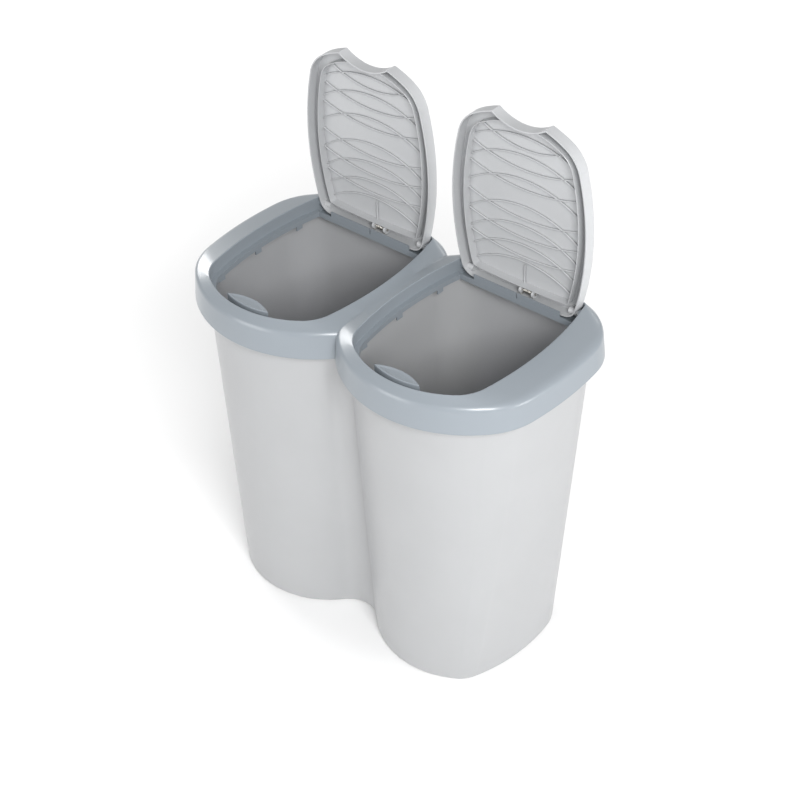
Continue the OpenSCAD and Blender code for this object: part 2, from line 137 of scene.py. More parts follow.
def double_lobe(o, d, valley_r, rear_valley_r):
    """Outline round both lobes, with a filleted valley in front and behind.

    The back bow runs on to the rear valley, so near it the outline lies outside the lobes.
    """
    front = (HALF_PITCH, -o["front"] + o["front_r"])
    back = (HALF_PITCH, o["back"] - o["back_r"])
    reach = math.sqrt((o["front_r"] + valley_r) ** 2 - HALF_PITCH**2)
    rear_reach = math.sqrt((o["back_r"] + rear_valley_r) ** 2 - HALF_PITCH**2)
    v = (0, front[1] - reach)
    w = (0, back[1] + rear_reach)
    av, aw = heading(front, v), heading(back, w)
    points = arc(v, valley_r + d, math.pi / 2, av + math.pi, STEPS["valley"])
    points += arc(front, o["front_r"] - d, av, -math.pi / 2, STEPS["front"])
    points += [(x + HALF_PITCH, y) for x, y in half_lobe(o, d)]
    points += arc(back, o["back_r"] - d, math.pi / 2, aw, STEPS["back"])[1:]
    points += arc(w, rear_valley_r + d, aw - math.pi, -math.pi / 2, STEPS["valley"])
    points += [(0, w[1] - rear_valley_r - d)]
    return points + flip(points)[1:-1]


print("lobes stand", 2 * HALF_PITCH, "mm apart")

# %% The outlines of this bin
SKIRT = outline(front=(153, 172), side=(155, 480, 25), back=(160, 340), corners=(95, 80))
TOP = outline(front=(138, 157), side=(140, 465, 25), back=(147, 325), corners=(80, 65))
FOOT = outline(front=(125.3, 128.5), side=(106, 254, 14.7), back=(112, 211), corners=(42, 60))
LIP = outline(front=(139, 142), side=(110.5, 480, 12), back=(140, 1800), corners=(55, 8))
LID = outline(front=(134.96, 139.5), side=(106.5, 400, 12), back=(134.5, 1200), corners=(52.5, 20))
MID_Y = (SKIRT["back"] - SKIRT["front"]) / 2
print("points in a lobe:", len(lobe(LIP)), "and the bin's middle lies at y =", MID_Y)

# %% [markdown]
# ## From outlines to solids
# A wall is a stack of rings, each with as many points as the last, joined by quads and
# capped at both ends. Openings are cut with solids of the same kind. The Manifold solver
# is quick and exact on such closed meshes, so pockets, openings and bores are cut out.

# %% Mesh helpers
collection = bpy.context.scene.collection
WELD = 0.00002
SHARP_WEIGHT = 80
OVER = 1.0


def at_z(points, z):
    return [(x, y, z) for x, y in points]


def mesh_object(name, verts, faces):
    mesh = bpy.data.meshes.new(name)
    mesh.from_pydata([(x * MM, (y - MID_Y) * MM, z * MM) for x, y, z in verts], [], faces)
    bm = bmesh.new()
    bm.from_mesh(mesh)
    bmesh.ops.recalc_face_normals(bm, faces=bm.faces)
    bm.to_mesh(mesh)
    bm.free()
    obj = bpy.data.objects.new(name, mesh)
    collection.objects.link(obj)
    return obj


def loft(name, rings, dx=0.0):
    """A closed solid through rings that all have the same number of points."""
    n = len(rings[0])
    verts = [(x + dx, y, z) for ring in rings for x, y, z in ring]
    faces = [list(range(n))[::-1], [(len(rings) - 1) * n + j for j in range(n)]]
    for i in range(len(rings) - 1):
        for j in range(n):
            k = (j + 1) % n
            faces.append([i * n + j, i * n + k, (i + 1) * n + k, (i + 1) * n + j])
    return mesh_object(name, verts, faces)


def prism(name, points, z1, z2, dx=0.0):
    return loft(name, [at_z(points, z1), at_z(points, z2)], dx)


def block(name, x1, x2, y1, y2, z1, z2, dx=0.0):
    return prism(name, [(x1, y1), (x2, y1), (x2, y2), (x1, y2)], z1, z2, dx)


def rod(name, x1, x2, r, y, z, dx=0.0, steps=48):
    turn = [2 * math.pi * i / steps for i in range(steps)]
    rings = [[(x, y + r * math.cos(t), z + r * math.sin(t)) for t in turn] for x in (x1, x2)]
    return loft(name, rings, dx)


def disc(name, y, r, z1, z2, dx=0.0, steps=160):
    turn = [2 * math.pi * i / steps for i in range(steps)]
    return prism(name, [(r * math.cos(t), y + r * math.sin(t)) for t in turn], z1, z2, dx)


print("shapes made here:", [f.__name__ for f in (loft, prism, block, rod, disc)])


# %% Mesh cutting and shading
def bake(obj):
    """Puts what the modifiers make into the mesh itself."""
    graph = bpy.context.evaluated_depsgraph_get()
    mesh = bpy.data.meshes.new_from_object(obj.evaluated_get(graph), depsgraph=graph)
    old = obj.data
    obj.modifiers.clear()
    obj.data = mesh
    bpy.data.meshes.remove(old)


def combine(base, operation, others):
    """Joins, cuts or intersects the base with the others, which are then removed."""
    for i, other in enumerate(others):
        step = base.modifiers.new("step_%d" % i, "BOOLEAN")
        step.operation = operation
        step.solver = "MANIFOLD"
        step.object = other
    bake(base)
    for other in others:
        mesh = other.data
        bpy.data.objects.remove(other)
        bpy.data.meshes.remove(mesh)
    return base


def soften(obj, angle=32):
    """Smooth shading that keeps edges sharper than the angle, weighted by face size."""
    bm = bmesh.new()
    bm.from_mesh(obj.data)
    bmesh.ops.remove_doubles(bm, verts=bm.verts, dist=WELD)
    bmesh.ops.dissolve_degenerate(bm, edges=bm.edges, dist=WELD)
    bm.to_mesh(obj.data)
    bm.free()
    obj.data.shade_smooth()
    obj.data.set_sharp_from_angle(angle=math.radians(angle))
    weigh = obj.modifiers.new("weigh", "WEIGHTED_NORMAL")
    weigh.keep_sharp = True
    weigh.weight = SHARP_WEIGHT
    bake(obj)
    return obj


print("tools for cutting and shading:", [f.__name__ for f in (bake, combine, soften)])

# %% [markdown]
# ## Finishes
# Moulded plastic is never quite flat in its shine: the mould leaves a very fine grain,
# and handling leaves faint, uneven gloss. Each plastic here mixes a broad noise for tone
# and gloss, a finer one for gloss alone and a very fine one for grain, all in Object
# coordinates, so the finish stays put when a lid swings. A little subsurface light gives
# the pale plastics their depth, and a thin coat gives the frame its shine.

# %% Small parts of a material
GLOSS = 0.03
GRAIN_HEIGHT = 0.00003
PLASTIC_IOR = 1.49
GLOW_RADIUS = (0.012, 0.012, 0.013)
GLOW_SCALE = 0.5
COAT_ROUGHNESS = 0.16


def link(tree, a, b):
    tree.links.new(a, b)


def noise(tree, coords, scale, detail, distortion=0.0):
    node = tree.nodes.new("ShaderNodeTexNoise")
    node.inputs["Scale"].default_value = scale
    node.inputs["Detail"].default_value = detail
    node.inputs["Distortion"].default_value = distortion
    link(tree, coords, node.inputs["Vector"])
    return node.outputs["Fac"]


def ramp(tree, value, low, high):
    node = tree.nodes.new("ShaderNodeMapRange")
    node.inputs["To Min"].default_value = low
    node.inputs["To Max"].default_value = high
    link(tree, value, node.inputs["Value"])
    return node.outputs["Result"]


def shade_pair(tree, fac, dark, light):
    """A blend of two colours. A Mix node has its colours at 6 and 7 and their result at 2."""
    node = tree.nodes.new("ShaderNodeMix")
    node.data_type = "RGBA"
    node.inputs[6].default_value = (*dark, 1)
    node.inputs[7].default_value = (*light, 1)
    link(tree, fac, node.inputs["Factor"])
    return node.outputs[2]


print("parts of a material:", [f.__name__ for f in (noise, ramp, shade_pair)])


# %% Plastic and steel
def plastic(name, colour, rough, grain=0.12, grain_scale=1400, tone=0.04, depth=0.0, coat=0.0):
    mat = bpy.data.materials.new(name)
    mat.use_nodes = True
    tree = mat.node_tree
    shader = tree.nodes["Principled BSDF"]
    coords = tree.nodes.new("ShaderNodeTexCoord").outputs["Object"]
    broad = noise(tree, coords, scale=9, detail=4, distortion=0.4)
    cloud = noise(tree, coords, scale=55, detail=3)
    fine = noise(tree, coords, grain_scale, detail=2)
    dark = [c * (1 - tone) for c in colour]
    light = [min(1, c * (1 + tone)) for c in colour]
    link(tree, shade_pair(tree, broad, dark, light), shader.inputs["Base Color"])
    uneven = tree.nodes.new("ShaderNodeMath")
    uneven.operation = "ADD"
    link(tree, ramp(tree, broad, -GLOSS, GLOSS), uneven.inputs[0])
    link(tree, ramp(tree, cloud, rough - GLOSS, rough + GLOSS), uneven.inputs[1])
    link(tree, uneven.outputs[0], shader.inputs["Roughness"])
    bump = tree.nodes.new("ShaderNodeBump")
    bump.inputs["Strength"].default_value = grain
    bump.inputs["Distance"].default_value = GRAIN_HEIGHT
    link(tree, fine, bump.inputs["Height"])
    link(tree, bump.outputs["Normal"], shader.inputs["Normal"])
    shader.inputs["IOR"].default_value = PLASTIC_IOR
    shader.inputs["Subsurface Weight"].default_value = depth
    shader.inputs["Subsurface Radius"].default_value = GLOW_RADIUS
    shader.inputs["Subsurface Scale"].default_value = GLOW_SCALE
    shader.inputs["Coat Weight"].default_value = coat
    shader.inputs["Coat Roughness"].default_value = COAT_ROUGHNESS
    return mat


def steel(name, colour, rough):
    mat = bpy.data.materials.new(name)
    mat.use_nodes = True
    tree = mat.node_tree
    shader = tree.nodes["Principled BSDF"]
    coords = tree.nodes.new("ShaderNodeTexCoord").outputs["Object"]
    streak = noise(tree, coords, scale=900, detail=3, distortion=1.5)
    dark = [c * 0.8 for c in colour]
    link(tree, shade_pair(tree, streak, dark, colour), shader.inputs["Base Color"])
    link(tree, ramp(tree, streak, rough - 0.1, rough + 0.12), shader.inputs["Roughness"])
    shader.inputs["Metallic"].default_value = 1.0
    return mat


# %% The four materials
tub_plastic = plastic("tub_plastic", (0.375, 0.38, 0.387), 0.34, grain=0.08, depth=0.3)
frame_plastic = plastic("frame_plastic", (0.225, 0.252, 0.278), 0.33, grain=0.08, tone=0.03, coat=0.3)
lid_plastic = plastic("lid_plastic", (0.43, 0.438, 0.448), 0.3, grain=0.05, depth=0.06)
spring_steel = steel("spring_steel", (0.62, 0.60, 0.56), 0.3)
print("materials:", [m.name for m in (tub_plastic, frame_plastic, lid_plastic, spring_steel)])


# %% Handing a finished piece over
def finish_piece(obj, material, slot, body, *nodes):
    """Gives a piece its material, and says which body it rides on and which CAD nodes it replaces."""
    obj.data.materials.clear()
    obj.data.materials.append(material)
    if nodes:
        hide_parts(*nodes)
    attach(obj, body)
    print(obj.name, "has", len(obj.data.polygons), "faces")


print("made for the pieces:", finish_piece.__name__)

# %% [markdown]
# ## The tub
# The tub is one moulding with two pockets. Its walls taper towards the foot so that it
# leaves the mould, and so do the two pockets. Between them the moulder leaves a hollow,
# open below. The outer wall is a stack of outlines that change evenly from the foot to
# the rim, with a rounded foot; the pockets and the hollow are cut from it.

# %% Tub sizes and rings
RIM_Z = 477.5
TUB_WALL = 2.8
FLOOR_T = 4.0
FLANGE_T = 3.0
FRAME_WALL = 2.5
RIM_CLEARANCE = 1.0
FOOT_ROUND = 4.0
POCKET_ROUND = 14.0
ROOF = 8.0
LEVELS = 10
FOOT_VALLEY_R, RIM_VALLEY_R, REAR_VALLEY_R = 42.0, 29.0, 22.0
FOOT_WEB, RIM_WEB = 24.0, 3.0
TIGHT_R = 1.0


def tub_outline(z):
    return mix_outline(FOOT, TOP, z / RIM_Z)


def tub_ring(z, d):
    valley_r = mix(FOOT_VALLEY_R, RIM_VALLEY_R, z / RIM_Z)
    return at_z(double_lobe(tub_outline(z), d, valley_r, REAR_VALLEY_R), z)


def pocket_ring(z, d, side):
    o = tub_outline(z)
    web = mix(FOOT_WEB, RIM_WEB, z / RIM_Z) + TUB_WALL / 2
    near = dict(o, half=HALF_PITCH - web + TUB_WALL)
    ring = half_lobe(o, d) + flip(half_lobe(near, d))[1:-1]
    ring = [(side * (x + HALF_PITCH), y) for x, y in ring]
    return at_z(ring if side > 0 else ring[::-1], z)


def quarter(steps=6):
    """Shares of a rounded edge: how far in and how far up, from the wall to the end."""
    turn = [math.pi / 2 * i / steps for i in range(steps + 1)]
    return [(1 - math.cos(t), math.sin(t)) for t in turn]


def levels(z1, z2, steps=LEVELS):
    return [mix(z1, z2, i / steps) for i in range(steps + 1)]


print("tub:", RIM_Z, "mm high, in", LEVELS, "levels")


# %% Build the tub
def make_tub():
    foot = [tub_ring(FOOT_ROUND * (1 - up), FOOT_ROUND * inward) for inward, up in reversed(quarter())]
    wall = [tub_ring(z, 0) for z in levels(FOOT_ROUND, RIM_Z - FLANGE_T / 2)[1:]]
    tub = loft("tub_shell", foot + wall)
    rim = double_lobe(SKIRT, FRAME_WALL + RIM_CLEARANCE, TIGHT_R, TIGHT_R)
    combine(tub, "UNION", [prism("rim", rim, RIM_Z - FLANGE_T, RIM_Z)])
    cuts = []
    for name, side in SIDES.items():
        foot = [
            pocket_ring(FLOOR_T + POCKET_ROUND * (1 - up), TUB_WALL + POCKET_ROUND * inward, side)
            for inward, up in reversed(quarter())
        ]
        wall = [pocket_ring(z, TUB_WALL, side) for z in levels(FLOOR_T + POCKET_ROUND, RIM_Z + OVER)[1:]]
        cuts.append(loft(name + "_pocket", foot + wall))
    hollow = loft("hollow", [tub_ring(z, TUB_WALL) for z in levels(-OVER, RIM_Z - FLANGE_T - ROOF)])
    skins = [
        loft(name + "_skin", [pocket_ring(z, 0, side) for z in levels(-2 * OVER, RIM_Z - FLANGE_T)])
        for name, side in SIDES.items()
    ]
    combine(hollow, "DIFFERENCE", skins)
    return combine(tub, "DIFFERENCE", cuts + [hollow])


tub = soften(make_tub(), 28)
finish_piece(tub, tub_plastic, "tub_plastic", "tub", "tub")

# %% [markdown]
# ## The rim frame
# The frame is a skirt with a softly rounded outer edge. Above it each half rises as a dome
# to the lip of its opening, and where the two domes meet they leave a crease.
# Inside each opening a step carries the closed lid, and a wall below it keeps the bag in
# place. Rounding is put into the rings, so it is there from every side. The inside of the
# skirt is the outline round both lobes. In the rear valley that outline lies outside the
# domes, so the skirt is open there for about 15 mm.

# %% Frame sizes
SKIRT_Z = 457.0
CORNER_Z = 493.5
EDGE_DROP = 7.0
ROUND_SHARE = 0.28
FLARE = 2.5
LIP_Z = 504.5
LIP_LAND = 1.0
LEDGE_DROP, LEDGE_W = 19.0, 7.0
LEDGE_Z = LIP_Z - LEDGE_DROP
POT_WALL = 2.2
ROOF_T = FRAME_WALL + 0.4
HINGE_Y, HINGE_Z = 125.0, 495.0
BAND_IN, BAND_HALF, BAND_DROP, BAND_THIN = 12.0, 70.0, 1.0, 0.2
BAND_Y = HINGE_Y - BAND_IN
BAND_TOP_Z = HINGE_Z - BAND_DROP
TROUGH_DROP, TROUGH_IN = 14.2, 0.4
TROUGH_Z = HINGE_Z - TROUGH_DROP
SOCKET = dict(start=93.0, reach=101.0, r=5.5, root=1.0, bore=2.58, bore_run=20.0)
STEM = dict(w=30.0, t=8.5, y=-122.5, length=32.0)
GAP = 0.4
BUTTON_FRONT, BUTTON_BASE_Z, BUTTON_TRAVEL = 133.0, 490.0, 3.5
CUP_DROP, CUP_WALL, CUP_SPARE = 12.0, 2.0, 2.0
CUP_TOP_Z = LEDGE_Z - CUP_DROP
CUP_FLOOR_Z = BUTTON_BASE_Z - STEM["length"] - BUTTON_TRAVEL - CUP_SPARE
HOOK = dict(drop=7.0, w=11.0, step=78.0, shift=1.8)
CROWN_IN, CROWN_RISE = 12.0, 0.5
SLOT = dict(x=1.0, w=1.8, rise=1.0)
LUG = dict(inset=1.0, lap=4.0, root=1.2)
ARM = dict(inset=2.0, drop=1.0, t=2.0)
FAR, MARGIN = 200.0, 5.0
# The skirt's lower edge: how far each ring is drawn in, and how far it lies above the edge.
HEM = ((0.5, 0.0), (0.04, 0.6))
print("frame from", SKIRT_Z, "to", LIP_Z, "mm above the floor")


# %% The dome of one lobe
def between(a, b, share):
    return [(mix(p[0], q[0], share), mix(p[1], q[1], share)) for p, q in zip(a, b)]


def dome(name, dx, steps=9):
    """Outer form of one lobe: flared skirt, rounded edge and a slope up to the lip."""
    wall, lip = lobe(SKIRT), lobe(LIP, -LIP_LAND)
    rings = [at_z(lobe(SKIRT, d - FLARE), SKIRT_Z + z) for d, z in HEM]
    rings += [at_z(lobe(SKIRT, -FLARE * (1 - t)), mix(SKIRT_Z, CORNER_Z - EDGE_DROP, t)) for t in (0.35, 0.7)]
    for i in range(steps + 1):
        t = i / steps
        share = t * t * ROUND_SHARE
        rings.append(at_z(between(wall, lip, share), mix(CORNER_Z, LIP_Z, share) - EDGE_DROP * (1 - t) ** 2))
    for share, drop in ((0.6, 0), (0.97, 0), (1.0, 0.05)):
        rings.append(at_z(between(wall, lip, share), mix(CORNER_Z, LIP_Z, share) - drop))
    return loft(name, rings, dx)


def crown_hollow(name, dx):
    """The hollow under a dome, made before the walls of its opening are put in."""
    wide = lobe(SKIRT, CROWN_IN)
    rings = [at_z(wide, RIM_Z - OVER), at_z(wide, CORNER_Z + CROWN_RISE)]
    rings += [at_z(lobe(LIP, -POT_WALL / 2), LIP_Z - ROOF_T)]
    return loft(name, rings, dx)


print("a dome rises", LIP_Z - CORNER_Z, "mm from its edge to its lip")


# %% What stands in an opening
def cut_by_plane(name, points, z1, z2, y1, y2, dx):
    wall = prism(name, points, z1, z2, dx)
    return combine(wall, "INTERSECT", [block("keep", -FAR, FAR, y1, y2, z1 - MARGIN, z2 + MARGIN, dx)])


def pot_pieces(dx):
    cup_half = STEM["w"] / 2 + GAP + CUP_WALL
    cup_back = STEM["y"] + STEM["t"] / 2 + GAP + CUP_WALL
    cup_front = STEM["y"] - STEM["t"] / 2 - GAP - CUP_WALL
    lug_y = LEDGE_W - LIP["front"] + 1.5 * GAP
    lug_half, arm_half = cup_half - LUG["inset"], cup_half - ARM["inset"]
    lug_z1, lug_z2 = CUP_TOP_Z - LUG["lap"], LEDGE_Z - LUG["root"]
    arm_z = CUP_TOP_Z - ARM["drop"]
    socket_r = SOCKET["r"] + SOCKET["root"]
    outer = SOCKET["reach"] + POT_WALL
    trough = lobe(LIP, -POT_WALL * 0.8)
    pieces = [
        prism("wall", lobe(LIP, -POT_WALL), LEDGE_Z - POT_WALL, LIP_Z - ROOF_T * 0.8, dx),
        prism("inner", lobe(LIP, LEDGE_W - POT_WALL), RIM_Z + GAP, LEDGE_Z - POT_WALL / 2, dx),
        cut_by_plane("trough", trough, TROUGH_Z - CUP_WALL, LIP_Z - 2 * ROOF_T, BAND_Y, FAR, dx),
        block("cup", -cup_half, cup_half, cup_front, cup_back, CUP_FLOOR_Z - CUP_WALL, CUP_TOP_Z, dx),
        block("lug", -lug_half, lug_half, lug_y - CUP_WALL, lug_y, lug_z1, lug_z2, dx),
        block("arm", -arm_half, arm_half, lug_y - OVER, cup_front + OVER, arm_z - ARM["t"], arm_z, dx),
        rod("boss", SOCKET["start"], outer, socket_r, HINGE_Y, HINGE_Z, dx),
        rod("boss", -outer, -SOCKET["start"], socket_r, HINGE_Y, HINGE_Z, dx),
    ]
    return pieces + hooks(dx)


def hooks(dx):
    """Three small hooks under the inner wall on each side of an opening."""
    made = []
    half = half_lobe(LIP, LEDGE_W)
    for side in SIDES.values():
        for i in (-1, 0, 1):
            y = i * HOOK["step"] + HOOK["shift"]
            reach = max(px for px, py in half if abs(py - y) < HOOK["w"])
            x = side * (reach + POT_WALL * 0.7)
            z = RIM_Z + GAP - HOOK["drop"]
            w = HOOK["w"] / 2
            top = z + HOOK["drop"] + POT_WALL
            made.append(block("hook", x - POT_WALL / 2, x + POT_WALL / 2, y - w, y + w, z, top, dx))
    return made


print("guide cups from", CUP_FLOOR_Z, "to", CUP_TOP_Z)


# %% What is cut from an opening
# Each ring of the rounded lip: how far in, and how far above the lip. Minus is out or below.
LIP_ROUND = [(0, -1.1), (-0.08, -0.7), (-0.3, -0.33), (-0.62, -0.1), (-1.0, 0.02), (-1.4, 1)]


def lip_cut(name, dx):
    """The recess, with a softly rounded lip."""
    rings = [at_z(lobe(LIP, 0), LEDGE_Z)] + [at_z(lobe(LIP, d), LIP_Z + z) for d, z in LIP_ROUND]
    return loft(name, rings, dx)


def pot_cuts(dx):
    stem_half = STEM["w"] / 2 + GAP
    y1 = STEM["y"] - STEM["t"] / 2 - GAP
    y2 = STEM["y"] + STEM["t"] / 2 + GAP
    trough = lobe(LIP, TROUGH_IN)
    return [
        lip_cut("recess", dx),
        cut_by_plane("mouth", lobe(LIP, LEDGE_W), CUP_TOP_Z, LEDGE_Z + OVER, -FAR, BAND_Y, dx),
        cut_by_plane("trough", trough, TROUGH_Z, LEDGE_Z + OVER, BAND_Y + POT_WALL, FAR, dx),
        block("channel", -stem_half, stem_half, y1, y2, CUP_FLOOR_Z, CUP_TOP_Z + OVER, dx),
    ]


def band(dx):
    """The low wall in front of the hinge, with a slot beside a knuckle."""
    y1, y2 = BAND_Y + BAND_THIN, BAND_Y + POT_WALL - BAND_THIN
    x1, x2 = SLOT["x"] - SLOT["w"] / 2, SLOT["x"] + SLOT["w"] / 2
    wall = block("band", -BAND_HALF, BAND_HALF, y1, y2, TROUGH_Z - OVER, BAND_TOP_Z, dx)
    slot = block("slot", x1, x2, y1 - OVER, y2 + OVER, TROUGH_Z + SLOT["rise"], LIP_Z, dx)
    return combine(wall, "DIFFERENCE", [slot])


print("hinge wall", 2 * BAND_HALF, "mm wide")


# %% Build the rim frame
def make_frame():
    middles = [side * HALF_PITCH for side in SIDES.values()]
    shell, other = [dome("frame_shell", dx) for dx in middles]
    combine(shell, "UNION", [other])
    inner = [(SKIRT_Z - OVER, FRAME_WALL - FLARE), (RIM_Z, FRAME_WALL)]
    cavity = loft("cavity", [at_z(double_lobe(SKIRT, d, TIGHT_R, TIGHT_R), z) for z, d in inner])
    combine(shell, "DIFFERENCE", [cavity] + [crown_hollow("hollow", dx) for dx in middles])
    for dx in middles:
        combine(shell, "UNION", pot_pieces(dx))
        combine(shell, "DIFFERENCE", pot_cuts(dx))
        start, reach = SOCKET["start"], SOCKET["reach"]
        ends = [(start, reach), (-reach, -start)]
        bosses = [rod("boss", a, b, SOCKET["r"], HINGE_Y, HINGE_Z, dx) for a, b in ends]
        combine(shell, "UNION", bosses + [band(dx)])
        inner_end = start - SOCKET["bore_run"]
        spans = [(inner_end, reach), (-reach, -inner_end)]
        bores = [rod("bore", a, b, SOCKET["bore"], HINGE_Y, HINGE_Z, dx) for a, b in spans]
        combine(shell, "DIFFERENCE", bores)
    return shell


rim_frame = soften(make_frame(), 30)
finish_piece(rim_frame, frame_plastic, "frame_plastic", "frame", "rim_frame")

# %% [markdown]
# ## A sweep with Geometry Nodes
# The ribs under a lid and the curls of a spring are the same thing to a modeller: a
# small section carried along a path. One function makes both node groups, with a flat
# section for ribs and a round one for wire. A group takes the path, sweeps its section
# along it and sets the material. Its sizes are named inputs, so one number changes all
# the ribs.

# %% The sweep node group
def sweep_group(name, round_section):
    tree = bpy.data.node_groups.new(name, "GeometryNodeTree")
    face = tree.interface
    face.new_socket("Path", in_out="INPUT", socket_type="NodeSocketGeometry")
    face.new_socket("Width", in_out="INPUT", socket_type="NodeSocketFloat")
    face.new_socket("Height", in_out="INPUT", socket_type="NodeSocketFloat")
    face.new_socket("Material", in_out="INPUT", socket_type="NodeSocketMaterial")
    face.new_socket("Mesh", in_out="OUTPUT", socket_type="NodeSocketGeometry")
    start = tree.nodes.new("NodeGroupInput")
    end = tree.nodes.new("NodeGroupOutput")
    as_curve = tree.nodes.new("GeometryNodeMeshToCurve")
    upright = tree.nodes.new("GeometryNodeSetCurveNormal")
    upright.mode = "MINIMUM_TWIST" if round_section else "Z_UP"
    sweep = tree.nodes.new("GeometryNodeCurveToMesh")
    sweep.inputs["Fill Caps"].default_value = True
    if round_section:
        section = tree.nodes.new("GeometryNodeCurvePrimitiveCircle")
        section.inputs["Resolution"].default_value = 16
        half = tree.nodes.new("ShaderNodeMath")
        half.operation = "MULTIPLY"
        half.inputs[1].default_value = 0.5
        link(tree, start.outputs["Width"], half.inputs[0])
        link(tree, half.outputs[0], section.inputs["Radius"])
    else:
        section = tree.nodes.new("GeometryNodeCurvePrimitiveQuadrilateral")
        link(tree, start.outputs["Width"], section.inputs["Width"])
        link(tree, start.outputs["Height"], section.inputs["Height"])
    realize = tree.nodes.new("GeometryNodeRealizeInstances")
    paint = tree.nodes.new("GeometryNodeSetMaterial")
    link(tree, start.outputs["Path"], as_curve.inputs["Mesh"])
    link(tree, as_curve.outputs["Curve"], upright.inputs["Curve"])
    link(tree, upright.outputs["Curve"], sweep.inputs["Curve"])
    link(tree, section.outputs["Curve"], sweep.inputs["Profile Curve"])
    link(tree, sweep.outputs["Mesh"], realize.inputs["Geometry"])
    link(tree, realize.outputs["Geometry"], paint.inputs["Geometry"])
    link(tree, start.outputs["Material"], paint.inputs["Material"])
    link(tree, paint.outputs["Geometry"], end.inputs["Mesh"])
    return tree


def swept(name, paths, group, width, height, material):
    """Sweeps the group's section along paths in millimetres and returns a plain mesh object."""
    verts = [(x * MM, (y - MID_Y) * MM, z * MM) for path in paths for x, y, z in path]
    edges, first = [], 0
    for path in paths:
        edges += [(first + i, first + i + 1) for i in range(len(path) - 1)]
        first += len(path)
    line = bpy.data.meshes.new(name + "_path")
    line.from_pydata(verts, edges, [])
    holder = bpy.data.objects.new(name + "_path", line)
    collection.objects.link(holder)
    modifier = holder.modifiers.new("sweep", "NODES")
    modifier.node_group = group
    sockets = {s.name: s.identifier for s in group.interface.items_tree if s.in_out == "INPUT"}
    modifier[sockets["Width"]] = width * MM
    modifier[sockets["Height"]] = height * MM
    modifier[sockets["Material"]] = material
    graph = bpy.context.evaluated_depsgraph_get()
    mesh = bpy.data.meshes.new_from_object(holder.evaluated_get(graph), depsgraph=graph)
    bpy.data.objects.remove(holder)
    bpy.data.meshes.remove(line)
    obj = bpy.data.objects.new(name, mesh)
    collection.objects.link(obj)
    return obj


flat_sweep = sweep_group("rib_sweep", False)
round_sweep = sweep_group("wire_sweep", True)
print("node groups:", flat_sweep.name, round_sweep.name)

# %% [markdown]
# ## The lids
# A lid is a shallow cap: a skin, an outer wall, an inner flange that reaches into the
# opening, and curved ribs that stiffen the skin. Its front has a notch that wraps round
# the button. The lid is drawn closed, where its outline is easy to read, and is then
# turned open about the hinge axis.

# %% Lid sizes
LID_TOP = LIP_Z
LID_WALL = 2.0
LID_UNDER = LID_TOP - LID_WALL
LID_DEPTH, LID_EDGE_R = 18.5, 3.0
# The fillet inside: how far each ring is drawn in from the wall, and how far it lies below the skin.
ROOT_FILLET = ((0.0, 1.2), (0.35, 0.35), (1.2, 0.0))
BEVEL, BEVEL_RISE = 0.3, 0.5
FLANGE_BEVEL, FLANGE_BEVEL_RISE = 0.25, 0.3
# The lid's lower edge: how far each ring is drawn in, and how far it lies above the edge.
LID_HEM = ((0.35, 0.0), (0.08, 0.15), (0.0, 0.5))
RIM_UNDER = LID_TOP - LID_DEPTH
FLANGE_IN, FLANGE_SHORT = 15.0, 4.5
NOTCH_HALF, NOTCH_DEPTH = 41.0, 13.0
NOTCH_R = (NOTCH_HALF**2 + NOTCH_DEPTH**2) / (2 * NOTCH_DEPTH)
NOTCH_TIP_Y = -LID["front"] + LID["front_r"] - math.sqrt(LID["front_r"] ** 2 - NOTCH_HALF**2)
NOTCH_Y = NOTCH_TIP_Y + NOTCH_DEPTH - NOTCH_R
RIB_W, RIB_H, RIB_ROOT = 1.3, 3.0, 0.1
KNUCKLES = (1.0, 21.0)
KNUCKLE_T, KNUCKLE_R, PIN_R = 3.0, 5.9, 2.0
BOSS = dict(start=78.0, end=90.0, r=4.5)
TRUNNION_R, TRUNNION_REACH, PIN_BORE_REACH = 2.5, 100.0, 60.0
LID_LENGTH = LID["front"] + HINGE_Y
print("lid length", round(LID_LENGTH, 2), "and notch radius", round(NOTCH_R, 1))


def notched(name, rings):
    """A lid-shaped solid from (drawn in, height) pairs, with the notch left out."""
    body = loft(name, [at_z(lobe(LID, d), z) for d, z in rings])
    steps = 120
    turn = [2 * math.pi * i / steps for i in range(steps)]
    cut = [
        [((NOTCH_R + d) * math.cos(t), NOTCH_Y + (NOTCH_R + d) * math.sin(t), z) for t in turn]
        for d, z in [(rings[0][0], rings[0][1] - 1)] + list(rings) + [(rings[-1][0], rings[-1][1] + 1)]
    ]
    return combine(body, "DIFFERENCE", [loft("notch", cut)])


# %% Ribs as arcs through three points
# Each pair is a rib's share of the lid's length at its ends and at its middle.
ARCH_RIBS = [(0.75, 0.86), (0.64, 0.755), (0.505, 0.62), (0.345, 0.47)]
ARCH_RIBS += [(0.23, 0.355), (0.115, 0.245), (0.025, 0.15)]
SAG_RIBS = [(0.925, 0.79), (0.755, 0.675), (0.63, 0.565)]
SAG_RIBS += [(0.46, 0.395), (0.345, 0.285), (0.225, 0.175)]
GUSSET = dict(start=35.0, end=6.0)
RIB_POINTS, FEWEST_POINTS = 240, 3


def centre_of(a, b, c):
    """Centre of the circle through three points."""
    d = 2 * (a[0] * (b[1] - c[1]) + b[0] * (c[1] - a[1]) + c[0] * (a[1] - b[1]))
    sq = [p[0] ** 2 + p[1] ** 2 for p in (a, b, c)]
    x = (sq[0] * (b[1] - c[1]) + sq[1] * (c[1] - a[1]) + sq[2] * (a[1] - b[1])) / d
    y = (sq[0] * (c[0] - b[0]) + sq[1] * (a[0] - c[0]) + sq[2] * (b[0] - a[0])) / d
    return x, y


